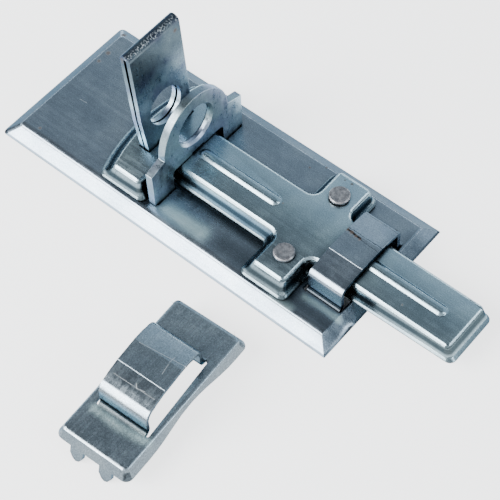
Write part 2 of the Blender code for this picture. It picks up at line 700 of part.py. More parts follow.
def eye_outline():
    """Return the eye's outline in its own plane, as (y, height above the plate)."""
    foot = SEAT_GAP
    drop = -EYE_TENON_REACH
    outer = EYE_HALF_WIDTH - EYE_TENON_INSET
    top = EYE_OPENING_TOP - PLATE_TOP
    notch = RIB_HALF_WIDTH + SLOT_GAP
    half = [(notch, top + RIB_HEIGHT, 0.0), (notch, top, 0.0),
            (EYE_OPENING_HALF, top, EYE_OPENING_CORNER), (EYE_OPENING_HALF, drop, 0.0),
            (outer, drop, 0.0), (outer, foot, 0.0), (EYE_HALF_WIDTH, foot, 0.0),
            (EYE_HALF_WIDTH, EYE_SHOULDER_LOW, 0.0)]
    steps = ROUND_STEPS // 2
    for step in range(steps):
        angle = math.pi / 2 * step / steps
        half.append((EYE_ARCH_HALF_WIDTH * math.cos(angle),
                     EYE_SHOULDER_HIGH + EYE_ARCH_RISE * math.sin(angle), 0.0))
    crown = [(0.0, EYE_SHOULDER_HIGH + EYE_ARCH_RISE, 0.0)]
    return rounded_outline(half + crown + [(-y, z, r) for y, z, r in reversed(half)])


def build_eye(group, cutters, material):
    """Make the padlock eye standing in the base plate."""
    mesh = extrude_outlines("padlock_eye", [eye_outline()], EYE_SHEET)
    eye = add_object("padlock_eye", mesh, group, material)
    eye.rotation_euler = (math.pi / 2, 0.0, math.pi / 2)
    eye.location = (EYE_FACE - EYE_SHEET / 2, 0.0, PLATE_TOP)
    add_cut(eye, eye_hole_cutter(cutters))
    return eye


def eye_hole_cutter(cutters):
    """Make the eye's hole cutter, flared at both faces, in the eye's own axes."""
    hole = EYE_HOLE_RADIUS
    wide = hole + EYE_HOLE_CHAMFER + OVERRUN
    face = EYE_SHEET / 2 + OVERRUN
    throat = EYE_SHEET / 2 - EYE_HOLE_CHAMFER
    profile = [(0.0, face), (wide, face), (hole, throat), (hole, -throat), (wide, -face), (0.0, -face)]
    cutter = turned_object("eye_hole", profile, ROUND_STEPS)
    cutters.objects.link(cutter)
    cutter.rotation_euler = (0.0, math.pi / 2, 0.0)
    cutter.location = (EYE_FACE - EYE_SHEET / 2, 0.0, PADLOCK_AXIS)
    return cutter


def turned_object(name, profile, steps):
    """Turn a profile (radius, height), given top to bottom, about its own Z axis."""
    bm = bmesh.new()
    verts = [bm.verts.new((radius, 0.0, height)) for radius, height in profile]
    for upper, lower in zip(verts, verts[1:]):
        bm.edges.new((upper, lower))
    mesh = bpy.data.meshes.new(name)
    bm.to_mesh(mesh)
    bm.free()
    thing = bpy.data.objects.new(name, mesh)
    screw = thing.modifiers.new("turn", "SCREW")
    screw.axis = "Z"
    screw.angle = 2 * math.pi
    screw.steps = steps
    screw.render_steps = steps
    screw.use_merge_vertices = True
    screw.merge_threshold = MERGE_DISTANCE
    return thing


def build_rivet(name, side, group, material):
    """Make a rivet through one wing and the stiffener below it."""
    head = BOLT_TOP + SEAT_GAP
    tail = BOLT_CEILING - SEAT_GAP - STIFFENER_SHEET - SEAT_GAP
    profile = [(0.0, head + RIVET_HEAD_HEIGHT),
               (RIVET_HEAD_RADIUS - RIVET_EDGE, head + RIVET_HEAD_HEIGHT),
               (RIVET_HEAD_RADIUS, head + RIVET_HEAD_HEIGHT - RIVET_EDGE),
               (RIVET_HEAD_RADIUS, head), (RIVET_SHANK_RADIUS, head),
               (RIVET_SHANK_RADIUS, tail), (RIVET_TAIL_RADIUS, tail),
               (RIVET_TAIL_RADIUS, tail - RIVET_TAIL_HEIGHT + RIVET_EDGE),
               (RIVET_TAIL_RADIUS - RIVET_EDGE, tail - RIVET_TAIL_HEIGHT),
               (0.0, tail - RIVET_TAIL_HEIGHT)]
    rivet = turned_object(name, profile, ROUND_STEPS)
    group.objects.link(rivet)
    rivet.data.materials.append(material)
    rivet.location = (RIVET_PLACE, side * RIVET_SPREAD, 0.0)
    return rivet


def build_stiffener(group, material):
    """Make the flat bar that the rivets hold under the wings."""
    x = STIFFENER_WIDTH / 2
    y = STIFFENER_HALF_LENGTH
    radius = STIFFENER_WIDTH / 4
    outlines = [rounded_outline([(x, -y, radius), (x, y, radius), (-x, y, radius), (-x, -y, radius)])]
    for side in (-1, 1):
        hole = circle_outline(0.0, side * RIVET_SPREAD, RIVET_SHANK_RADIUS + SEAT_GAP, HOLE_STEPS)
        outlines.append(hole)
    mesh = extrude_outlines("stiffener", outlines, STIFFENER_SHEET)
    bar = add_object("stiffener", mesh, group, material)
    bar.location = (RIVET_PLACE, 0.0, BOLT_CEILING - SEAT_GAP - STIFFENER_SHEET / 2)
    return bar


def waist_share(y):
    """Return the share of the wave in the keeper's long edges at a place along them."""
    reach = min(abs(y - KEEPER_WAIST_OFFSET) / KEEPER_WAIST_HALF_LENGTH, 1.0)
    return (1 + math.cos(math.pi * reach)) / 2


def keeper_outline(inset, corner, pinch):
    """Return the keeper's outline, with points along its long sides for the waved edge."""
    x = KEEPER_FOOT_WIDTH / 2 - inset
    y = KEEPER_FOOT_LENGTH / 2 - inset
    waist = KEEPER_WAIST_HALF_LENGTH
    wave = [waist * (2 * step / WAIST_STEPS - 1) + KEEPER_WAIST_OFFSET for step in range(WAIST_STEPS + 1)]
    prongs = []
    for side in (-1, 1):
        for edge in (-0.5, 0.5):
            prongs.append(side * PRONG_SPREAD + edge * PRONG_WIDTH)
    edge = [(x - pinch * waist_share(place), place, 0.0) for place in wave]
    corners = [(x, -y, corner), *edge, (x, y, corner),
               *[(-place, y, 0.0) for place in prongs], (-x, y, corner),
               *[(-across, place, 0.0) for across, place, _ in reversed(edge)], (-x, -y, corner),
               *[(place, -y, 0.0) for place in prongs]]
    return rounded_outline(corners)


def keeper_edge(outline):
    """Return the height of the keeper's lower edge at each point of its outline."""
    return [KEEPER_TOP - KEEPER_SKIRT + KEEPER_WAIST_RISE * waist_share(y) for x, y in outline]


def nearest_vertex(verts, x, y):
    """Return the vertex that lies nearest to a place in plan."""
    return min(verts, key=lambda vertex: (vertex.co.xy - Vector((x, y))).length)


def add_prongs(bm, ring):
    """Hang the pointed prongs from the keeper's short edges, leaning out down to the ground."""
    reach = KEEPER_FOOT_LENGTH / 2
    # The inner side of a leaning prong reaches lower than its outer side
    tip = KEEPER_SHEET * math.sin(math.atan(PRONG_LEAN_SHARE))
    for side in (-1, 1):
        for middle in (-PRONG_SPREAD, PRONG_SPREAD):
            left = nearest_vertex(ring, middle - PRONG_WIDTH / 2, side * reach)
            right = nearest_vertex(ring, middle + PRONG_WIDTH / 2, side * reach)
            point = []
            for x, rise in ((left.co.x, PRONG_POINT), (middle - PRONG_WIDTH / 4, PRONG_POINT / 4),
                            (middle, 0.0), (middle + PRONG_WIDTH / 4, PRONG_POINT / 4),
                            (right.co.x, PRONG_POINT)):
                z = tip + rise
                y = side * (reach + PRONG_LEAN_SHARE * (left.co.z - z))
                point.append(bm.verts.new((x, y, z)))
            bm.faces.new((left, *point, right))


def build_keeper(group, material):
    """Make the keeper, turned a little as it lies beside the bolt."""
    bm = bmesh.new()
    skirt = KEEPER_TOP - KEEPER_BEND
    outline = keeper_outline(0.0, KEEPER_FOOT_CORNER, KEEPER_WAIST_PINCH)
    rings = [add_ring(bm, outline, keeper_edge(outline))]
    brow = KEEPER_BROW_INSET
    middle = KEEPER_BEND * KEEPER_BEND_SHARE
    for inset, height, corner in ((brow, skirt, KEEPER_BROW_CORNER + brow),
                                  (brow + middle, KEEPER_TOP - middle, KEEPER_BROW_CORNER),
                                  (brow + KEEPER_BEND, KEEPER_TOP, KEEPER_BROW_CORNER / 2)):
        rings.append(add_ring(bm, keeper_outline(inset, corner, 0.0), height))
    stack_rings(bm, rings)
    add_prongs(bm, rings[0])
    side = KEEPER_BRIDGE_HALF_WIDTH
    section = strap_section(KEEPER_BRIDGE_HALF_SPAN, KEEPER_BRIDGE_HEIGHT, KEEPER_TOP, KEEPER_BRIDGE_BEND)
    window = add_strap(bm, -side, side, section, KEEPER_TOP, KEEPER_BRIDGE_SKEW,
                       KEEPER_WINDOW_SIDE, KEEPER_WINDOW_SIDE)
    fill_flat(bm, [rings[-1], window])
    keeper = add_object("keeper", finish_surface(bm, "keeper"), group, material)
    add_solidify(keeper, KEEPER_SHEET)
    keeper.location = KEEPER_CENTRE
    keeper.rotation_euler = (0.0, 0.0, KEEPER_TURN)
    return keeper


def shade_parts(parts):
    """Shade the bends smooth and keep the sheared edges sharp."""
    for part in parts:
        part.data.shade_smooth()
        part.data.set_sharp_from_angle(angle=math.radians(30.0))


def centre_set(parts, followers):
    """Move the whole set so that the origin lies under its middle."""
    bpy.context.view_layer.update()
    graph = bpy.context.evaluated_depsgraph_get()
    places = []
    for part in parts:
        shown = part.evaluated_get(graph)
        places.extend(shown.matrix_world @ vertex.co for vertex in shown.to_mesh().vertices)
        shown.to_mesh_clear()
    low = Vector([min(place[axis] for place in places) for axis in range(3)])
    high = Vector([max(place[axis] for place in places) for axis in range(3)])
    shift = Vector((-(low.x + high.x) / 2, -(low.y + high.y) / 2, -low.z))
    for thing in parts + followers:
        thing.location += shift


def build_set():
    """Build every piece of the padlock bolt."""
    clear_scene()
    group = make_collection(SET_NAME)
    cutters = make_collection("cutters")
    base_zinc = make_material("base_zinc", (0.46, 0.52, 0.58), 0.22)
    bolt_zinc = make_material("bolt_zinc", (0.50, 0.57, 0.62), 0.24)
    lug_zinc = make_material("lug_zinc", (0.48, 0.56, 0.64), 0.28)
    rivet_steel = make_material("rivet_steel", (0.52, 0.49, 0.50), 0.50)
    parts = [build_base_plate(group, cutters, base_zinc),
             build_eye(group, cutters, lug_zinc),
             build_bolt(group, bolt_zinc),
             build_tongue(group, cutters, lug_zinc),
             build_rivet("rivet_near", -1, group, rivet_steel),
             build_rivet("rivet_far", 1, group, rivet_steel),
             build_stiffener(group, lug_zinc),
             build_keeper(group, base_zinc)]
    shade_parts(parts)
    centre_set(parts, list(cutters.objects))


build_set()
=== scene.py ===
"""Looks of the sliding padlock bolt and its keeper: blue-bright zinc plating on pressed steel.

Metres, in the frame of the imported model, with +X the way the bolt is thrown. The solids keep
their shapes. Here they are welded, their sheared edges are broken a little, and each gets
plating with its grain, draw marks, smudges and rust specks where the photograph shows them.
"""
import math

import bpy
from mathutils import Matrix, Vector


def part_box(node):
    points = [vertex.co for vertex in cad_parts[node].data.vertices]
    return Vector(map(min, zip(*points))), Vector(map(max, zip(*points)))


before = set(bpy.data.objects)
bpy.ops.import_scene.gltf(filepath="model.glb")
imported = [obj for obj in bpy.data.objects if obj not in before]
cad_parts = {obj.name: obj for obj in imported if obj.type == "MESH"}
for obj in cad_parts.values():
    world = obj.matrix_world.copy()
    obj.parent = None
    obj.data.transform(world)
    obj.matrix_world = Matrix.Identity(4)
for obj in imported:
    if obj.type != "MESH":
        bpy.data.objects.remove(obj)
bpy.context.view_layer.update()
PLATE_LOW, PLATE_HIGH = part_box("base_plate")

# The photograph's camera, aimed at a point a little off the middle of the plate
PLATE_MIDDLE = (PLATE_LOW + PLATE_HIGH) / 2
AIM = Vector((PLATE_MIDDLE.x + 0.02282, PLATE_MIDDLE.y - 0.01187, 0.0))
AZIMUTH = math.radians(42.8)
ELEVATION = math.radians(56.46)
ROLL = math.radians(-3.23)
DISTANCE = 0.41948
FOCAL_PIXELS = 1526.09
FRAME_PIXELS = 500
SENSOR = 36.0
NEAR_CLIP = 0.01

# The floor: its size, its own light, and the rim inside the plate's outline where its glow stops,
# which leaves a painted shadow beneath the plate
FLOOR_HALF = 3.0
FLOOR_GLOW = 2.3
FLOOR_ROUGH = 0.9
FLOOR_SPECULAR = 0.1
FLOOR_STOPS = [(0.35, (0.88, 0.885, 0.89)), (0.65, (0.90, 0.90, 0.90))]
PLATE_RIM = 0.0020

# Softboxes: name, direction from the part, distance, width, height, power and colour
SOFTBOXES = [
    ("key_box", (-0.415, -0.700, 0.580), 0.9, 0.62, 0.62, 13.5, (1.0, 1.0, 1.0)),
    ("side_box", (0.80, 0.10, 0.60), 1.0, 0.30, 0.55, 2.6, (0.86, 0.94, 1.0)),
]
# What the plating mirrors: the room from the horizon at +Y (0) over the top (0.5) to the
# horizon at -Y (1)
ROOM_STOPS = [
    (0.0, (0.60, 0.72, 0.83)), (0.26, (0.56, 0.69, 0.81)), (0.31, (0.40, 0.48, 0.55)),
    (0.35, (0.27, 0.305, 0.335)), (0.42, (0.22, 0.24, 0.26)), (0.50, (0.12, 0.13, 0.145)),
    (0.60, (0.12, 0.13, 0.145)), (0.66, (0.90, 0.94, 0.98)), (0.90, (0.90, 0.94, 0.98)),
    (0.94, (0.06, 0.07, 0.085)),
]

# How the solids are finished: welded, every sheared edge broken a little, bends shaded smooth
WELD = 0.00001
FLAT_ANGLE = math.radians(0.3)
SHEARED_ANGLE = math.radians(50.0)
EDGE_BREAK = 0.00014
EDGE_BREAKS = {"padlock_eye": 0.00022, "rivet_near": 0.0, "rivet_far": 0.0}
EDGE_SEGMENTS = 2
SMOOTH_ANGLE = math.radians(32.0)
CREASE_ANGLE = math.radians(4.5)
FLAT_WEIGHT = 60
# Above these heights the crowns of the strap and of the keeper's bridge keep their creases
CROWNS = {"base_plate": 0.0116, "keeper": 0.0170}
NO_CROWN = 1.0

# The bolt's foot and middle, and where its nose is trimmed higher towards the tip
BOLT_FOOT = 0.0033
BOLT_MIDDLE = 0.0315
NOSE_START = 0.0299
NOSE_END = 0.0742
NOSE_LIFT = 0.0016

# Colours laid on the plating: painted sheen, painted shade and real marks, with the share that
# the painted sheen, the painted shade and rust cover, and the share of the cut edge's height that
# is fully dark
PAINTED_SHEEN, PAINTED_SHEEN_SHARE = (0.74, 0.98, 1.0), 0.95
PAINTED_SHADE, PAINTED_SHADE_SHARE = (0.10, 0.125, 0.15), 0.75
RUST, RUST_SHARE = (0.085, 0.062, 0.050), 0.85
SCRATCH = (0.86, 0.93, 0.97)
CRACK = (0.045, 0.038, 0.036)
CUT_EDGE, CUT_EDGE_CORE = (0.10, 0.13, 0.16), 0.6
CRUST = (0.50, 0.55, 0.58)
# Roughness of the marks, and what rust and crust take off the metal
SCRATCH_ROUGH, RUST_ROUGH, CRUST_ROUGH, HAZE_ROUGH = 0.45, 0.75, 0.6, 0.20
RUST_COVER, CRUST_COVER = 0.8, 0.6
# Tint of the reflections at a grazing angle
EDGE_TINT = (0.42, 0.50, 0.58, 1.0)

# Noises: cycles a metre, detail and roughness. Each look has a drift scale of its own.
CLOUD = (430.0, 6.0, 0.62)
GRAIN = (3000.0, 2.0, 0.6)
STREAK = (900.0, 3.0, 0.5)
WAVE = (210.0, 2.0, 0.5)
SPECKS = (2200.0, 2.0, 0.5)
BORDER = (260.0, 3.0, 0.5)
FLOOR_NOISE = (6.0, 2.0, 0.5)
DRIFT = (3.0, 0.5)
RAGGED_DETAIL = 3.0

# Stops of (place, tone) that turn the noises into tones
DRIFT_PLACES = (0.34, 0.5, 0.66)
CLOUDS, CLOUD_SHARE = [(0.35, 0.82), (0.65, 1.16)], 0.2
SPECKLE = [(0.32, 0.72), (0.52, 1.0), (0.72, 1.45)]
DRAW_MARKS = [(0.35, 0.86), (0.65, 1.10)]
DRAW_ROUGHNESS = [(0.40, 0.0), (0.75, 0.10)]
GLOSS_PLACES = (0.36, 0.66)
SPECK_PLACES = (0.48, 0.66)
# Painted shade in corners and at feet: how far it reaches, and its tones from the corner outwards
CORNER_REACH = 0.005
CORNER_SAMPLES = 8
CORNER_STOPS = [(0.30, 0.22), (0.62, 0.62), (0.92, 1.0)]

# How lines and spots run: how far noise pushes them, its scale, and their share at full
# strength, from the middle outwards
CLEAN = (0.0001, 900.0, 0.4)
TORN = (0.0006, 1300.0, 0.4)
CRUSTED = (0.0008, 700.0, 0.4)
GLINTING = (0.0008, 400.0, 0.0)
HAZY = (0.0010, 260.0, 0.0)
SPOTTED = (0.0006, 2400.0, 0.3)

# How normals lean in ridges, glints and at the near bends, which face this way
RIDGE_LEAN = (0.0, -0.42, 0.0)
GLINT_LEAN = (-0.35, -0.60, 0.15)
BROW_LEAN = (0.0, -0.62, 0.78)
BROW_WAY = (0.5, -0.87, 0.0)
BROW_SHARES = (0.14, 0.36)
# Heights of the normal between which a face comes to count as level, as a bend (with how soft
# its borders are) and as a wall
LEVEL = (0.90, 0.99)
BEND = (0.48, 0.90, 0.05)
WALL = (0.998, 0.98)
# How soft the borders of these places are, and how far the dished border wanders
BAND_SOFT = 0.0002
RIB_SOFT = 0.00003
BORDER_WANDER = 0.0016
BORDER_STRETCH = (0.3, 1.0, 1.0)

# Relief in the plating: distance and strength of the waves, draw marks and grain
WAVE_RELIEF = (0.00010, 0.20)
DRAW_RELIEF = (0.00001, 0.30)
GRAIN_DEPTH = 0.00002


def link(tree, source, target):
    """Join two sockets."""
    tree.links.new(source, target)


def put(tree, socket, value):
    """Set a socket to a number or a vector, or join it to another socket."""
    if isinstance(value, (int, float, tuple, Vector)):
        socket.default_value = value
    else:
        link(tree, value, socket)


def add_math(tree, operation, first, second=None, third=None):
    """Add a math node on sockets or numbers and return its result."""
    node = tree.nodes.new("ShaderNodeMath")
    node.operation = operation
    for index, value in enumerate((first, second, third)):
        if value is not None:
            put(tree, node.inputs[index], value)
    return node.outputs[0]


def add_vector_math(tree, operation, first, second=None, scale=None):
    """Add a vector math node and return its vector, or its value where it gives one."""
    node = tree.nodes.new("ShaderNodeVectorMath")
    node.operation = operation
    put(tree, node.inputs[0], first)
    if second is not None:
        put(tree, node.inputs[1], second)
    if scale is not None:
        put(tree, node.inputs["Scale"], scale)
    return node.outputs["Value" if operation in ("DISTANCE", "DOT_PRODUCT") else "Vector"]


def add_step(tree, value, start, end):
    """Return 0 at one value, 1 at another, and a smooth rise between them."""
    node = tree.nodes.new("ShaderNodeMapRange")
    node.interpolation_type = "SMOOTHSTEP"
    put(tree, node.inputs["Value"], value)
    put(tree, node.inputs["From Min"], start)
    put(tree, node.inputs["From Max"], end)
    return node.outputs["Result"]


def add_band(tree, value, low, high, soft):
    """Return 1 between two values and 0 outside them, with soft borders."""
    rise = add_step(tree, value, low - soft, low + soft)
    fall = add_step(tree, value, high + soft, high - soft)
    return add_math(tree, "MULTIPLY", rise, fall)


def add_scaled(tree, mask, level):
    """Return 1 where a mask is 0, and a level where it is 1."""
    return add_math(tree, "MULTIPLY_ADD", mask, level - 1.0, 1.0)


def add_places(tree):
    """Return the object's own coordinates in metres."""
    return tree.nodes.new("ShaderNodeTexCoord").outputs["Object"]


def add_axes(tree):
    """Return the object's own x, y and z."""
    split = tree.nodes.new("ShaderNodeSeparateXYZ")
    link(tree, add_places(tree), split.inputs[0])
    return split.outputs["X"], split.outputs["Y"], split.outputs["Z"]


def add_facing(tree):
    """Return the normal, and its height, which is 1 where a face looks straight up."""
    normal = tree.nodes.new("ShaderNodeNewGeometry").outputs["Normal"]
    split = tree.nodes.new("ShaderNodeSeparateXYZ")
    link(tree, normal, split.inputs[0])
    return normal, split.outputs["Z"]


def add_height_over_trim(tree, lift):
    """Return the height, less what the nose's trimmed edge is lifted towards the tip."""
    x, _, z = add_axes(tree)
    rise = add_math(tree, "MULTIPLY", add_step(tree, x, NOSE_START, NOSE_END), lift)
    return add_math(tree, "SUBTRACT", z, rise)


def add_noise(tree, scale, detail, rough, stretch=(1.0, 1.0, 1.0)):
    """Add a noise texture in the object's coordinates and return its value."""
    mapping = tree.nodes.new("ShaderNodeMapping")
    mapping.inputs["Scale"].default_value = stretch
    link(tree, add_places(tree), mapping.inputs["Vector"])
    noise = tree.nodes.new("ShaderNodeTexNoise")
    noise.inputs["Scale"].default_value = scale
    noise.inputs["Detail"].default_value = detail
    noise.inputs["Roughness"].default_value = rough
    link(tree, mapping.outputs["Vector"], noise.inputs["Vector"])
    return noise.outputs["Fac"]


def add_ramp(tree, value, stops):
    """Colour a value with stops of (place, colour or grey)."""
    ramp = tree.nodes.new("ShaderNodeValToRGB")
    elements = ramp.color_ramp.elements
    while len(elements) < len(stops):
        elements.new(0.5)
    for element, (place, tone) in zip(elements, stops):
        element.position = place
        element.color = (tone, tone, tone, 1.0) if isinstance(tone, float) else (*tone, 1.0)
    link(tree, value, ramp.inputs["Fac"])
    return ramp.outputs["Color"]


def add_mix(tree, share, first, second, blend="MIX"):
    """Mix two colours, each a socket or a colour, by a share."""
    node = tree.nodes.new("ShaderNodeMix")
    node.data_type = "RGBA"
    node.blend_type = blend
    slots = (node.inputs[0], node.inputs[6], node.inputs[7])
    for slot, value in zip(slots, (share, first, second)):
        put(tree, slot, (*value, 1.0) if isinstance(value, tuple) else value)
    return node.outputs[2]


def add_bump(tree, height, distance, strength, below):
    """Add a bump on a height and return the normal."""
    bump = tree.nodes.new("ShaderNodeBump")
    bump.inputs["Distance"].default_value = distance
    bump.inputs["Strength"].default_value = strength
    link(tree, height, bump.inputs["Height"])
    link(tree, below, bump.inputs["Normal"])
    return bump.outputs["Normal"]


def add_ragged_places(tree, push, scale, marks):
    """Return coordinates pushed about by noise, flat where the marks on them have no height."""
    noise = tree.nodes.new("ShaderNodeTexNoise")
    noise.inputs["Scale"].default_value = scale
    noise.inputs["Detail"].default_value = RAGGED_DETAIL
    places = add_places(tree)
    link(tree, places, noise.inputs["Vector"])
    shift = add_vector_math(tree, "SUBTRACT", noise.outputs["Color"], (0.5, 0.5, 0.5))
    shift = add_vector_math(tree, "SCALE", shift, scale=push)
    places = add_vector_math(tree, "ADD", places, shift)
    if len(marks[0][0]) == 3:
        return places
    return add_vector_math(tree, "MULTIPLY", places, (1.0, 1.0, 0.0))


def add_spots(tree, spots, ragged):
    """Return 1 inside ragged spots, each (place, radius), and 0 outside them."""
    push, scale, core = ragged
    places = add_ragged_places(tree, push, scale, spots)
    total = None
    for place, radius in spots:
        reach = add_vector_math(tree, "DISTANCE", places, Vector(place).to_3d())
        spot = add_step(tree, reach, radius, radius * core)
        total = spot if total is None else add_math(tree, "MAXIMUM", total, spot)
    return total


def add_lines(tree, lines, ragged=CLEAN):
    """Return 1 along straight lines, each (start, end, half width), and 0 away from them."""
    push, scale, core = ragged
    places = add_ragged_places(tree, push, scale, lines)
    total = None
    for start, end, half_width in lines:
        along = Vector(end).to_3d() - Vector(start).to_3d()
        reach = add_vector_math(tree, "SUBTRACT", places, Vector(start).to_3d())
        share = add_vector_math(tree, "DOT_PRODUCT", reach, tuple(along / along.length_squared))
        clamp = tree.nodes.new("ShaderNodeClamp")
        link(tree, share, clamp.inputs["Value"])
        foot = add_vector_math(tree, "SCALE", tuple(along), scale=clamp.outputs["Result"])
        away = add_vector_math(tree, "DISTANCE", reach, foot)
        stroke = add_step(tree, away, half_width, half_width * core)
        total = stroke if total is None else add_math(tree, "MAXIMUM", total, stroke)
    return total


def add_tilt(tree, normal, lean, mask):
    """Lean a normal by a vector where the mask is 1."""
    return add_vector_math(tree, "ADD", normal, add_vector_math(tree, "SCALE", lean, scale=mask))


def add_brow_mask(tree, normal, upward, z, strength, low, high):
    """Return how far the bends that face the near side lean, but for those between two heights."""
    bend = add_band(tree, upward, *BEND)
    facing = add_vector_math(tree, "DOT_PRODUCT", normal, BROW_WAY)
    near = add_step(tree, facing, *BROW_SHARES)
    beyond = add_math(tree, "SUBTRACT", 1.0, add_band(tree, z, low, high, BAND_SOFT))
    return add_math(tree, "MULTIPLY", add_math(tree, "MULTIPLY", bend, near),
                    add_math(tree, "MULTIPLY", beyond, strength))


def shape_normal(tree, look):
    """Return the normal with the slight camber, crisper ribs and dished places of a pressing."""
    normal, upward = add_facing(tree)
    _, y, z = add_axes(tree)
    level = add_step(tree, upward, *LEVEL)
    if "ribs" in look:
        low, high, factor = look["ribs"]
        mask = add_math(tree, "MULTIPLY", add_band(tree, z, low, high, RIB_SOFT), factor - 1)
        sideways = add_vector_math(tree, "MULTIPLY", normal, (1.0, 1.0, 0.0))
        normal = add_tilt(tree, normal, sideways, mask)
    if "camber" in look:
        middle, rate = look["camber"]
        lean = add_math(tree, "MULTIPLY", add_math(tree, "SUBTRACT", y, middle), rate)
        normal = add_tilt(tree, normal, (0.0, 1.0, 0.0), add_math(tree, "MULTIPLY", lean, level))
    if "ridges" in look:
        normal = add_tilt(tree, normal, RIDGE_LEAN, add_lines(tree, look["ridges"]))
    if "glints" in look:
        normal = add_tilt(tree, normal, GLINT_LEAN, add_lines(tree, look["glints"], GLINTING))
    if "brow" in look:
        mask = add_brow_mask(tree, normal, upward, z, *look["brow"])
        normal = add_tilt(tree, normal, BROW_LEAN, mask)
    if "border" in look:
        place, reach, lean = look["border"]
        noise = add_noise(tree, *BORDER, BORDER_STRETCH)
        wander = add_math(tree, "MULTIPLY_ADD", noise, BORDER_WANDER, -BORDER_WANDER / 2)
        mask = add_step(tree, add_math(tree, "ADD", y, wander), place + reach, place)
        normal = add_tilt(tree, normal, (0.0, -lean, 0.0), add_math(tree, "MULTIPLY", mask, level))
    if "flange" in look:
        low, high, lean, lift = look["flange"]
        mask = add_band(tree, add_height_over_trim(tree, lift), low, high, BAND_SOFT)
        normal = add_tilt(tree, normal, (0.0, 0.0, lean), mask)
    return add_vector_math(tree, "NORMALIZE", normal)


def add_painted_side_shade(tree, way, start, end, darkening):
    """Return the painted shade that darkens the faces that turn one way."""
    normal, _ = add_facing(tree)
    node = tree.nodes.new("ShaderNodeMapRange")
    link(tree, add_vector_math(tree, "DOT_PRODUCT", normal, way), node.inputs["Value"])
    for socket, value in (("From Min", start), ("From Max", end), ("To Min", 1.0),
                          ("To Max", darkening)):
        put(tree, node.inputs[socket], value)
    return node.outputs["Result"]


def add_painted_wall_shade(tree, low, high, darkening, lift, soft):
    """Return the painted shade that darkens the pressed walls between two heights."""
    _, upward = add_facing(tree)
    mask = add_band(tree, add_height_over_trim(tree, lift), low, high, soft)
    mask = add_math(tree, "MULTIPLY", mask, add_step(tree, upward, *WALL))
    return add_scaled(tree, mask, darkening)


def add_painted_height_shade(tree, low, high, darkening):
    """Return the painted shade by which a piece darkens from one height to another."""
    _, _, z = add_axes(tree)
    return add_scaled(tree, add_step(tree, z, low, high), darkening)


def add_painted_corner_shade(tree):
    """Return the painted shade that darkens the corners and feet, where light can't reach."""
    node = tree.nodes.new("ShaderNodeAmbientOcclusion")
    node.samples = CORNER_SAMPLES
    node.inputs["Distance"].default_value = CORNER_REACH
    return add_ramp(tree, node.outputs["AO"], CORNER_STOPS)


def list_painted_shade(tree, look):
    """Return every painted shade that darkens the plating by side, wall, height or corner."""
    tones = [add_painted_side_shade(tree, *side) for side in look.get("sides", [])]
    if "wall" in look:
        tones.append(add_painted_wall_shade(tree, *look["wall"]))
    if "fade" in look:
        tones.append(add_painted_height_shade(tree, *look["fade"]))
    return tones + [add_painted_corner_shade(tree)]


def add_marks(tree, look, colour, rough, haze_and_painted_sheen):
    """Lay the marks on, and return the colour, the roughness and how much is still metal."""
    metal = 1.0
    if "scratches" in look:
        mask = add_lines(tree, look["scratches"])
        colour = add_mix(tree, mask, colour, SCRATCH)
        rough = add_math(tree, "MAXIMUM", rough, add_math(tree, "MULTIPLY", mask, SCRATCH_ROUGH))
    if "cracks" in look:
        colour = add_mix(tree, add_lines(tree, look["cracks"], TORN), colour, CRACK)
    if haze_and_painted_sheen is not None:
        rough = add_math(tree, "ADD", rough, add_math(tree, "MULTIPLY", haze_and_painted_sheen, HAZE_ROUGH))
    if "edge" in look:
        _, _, z = add_axes(tree)
        mask = add_step(tree, z, look["edge"], look["edge"] * CUT_EDGE_CORE)
        colour = add_mix(tree, mask, colour, CUT_EDGE)
    if "rust" in look:
        mask = add_math(tree, "MULTIPLY", add_spots(tree, look["rust"], SPOTTED), RUST_SHARE)
        colour = add_mix(tree, mask, colour, RUST)
        rough = add_math(tree, "MAXIMUM", rough, add_math(tree, "MULTIPLY", mask, RUST_ROUGH))
        metal = add_scaled(tree, mask, 1.0 - RUST_COVER)
    if "crust" in look:
        specks = add_step(tree, add_noise(tree, *SPECKS), *SPECK_PLACES)
        mask = add_math(tree, "MULTIPLY", add_lines(tree, look["crust"], CRUSTED), specks)
        colour = add_mix(tree, mask, colour, CRUST)
        rough = add_math(tree, "MAXIMUM", rough, add_math(tree, "MULTIPLY", mask, CRUST_ROUGH))
        metal = add_math(tree, "MULTIPLY", metal, add_scaled(tree, mask, 1.0 - CRUST_COVER))
    return colour, rough, metal


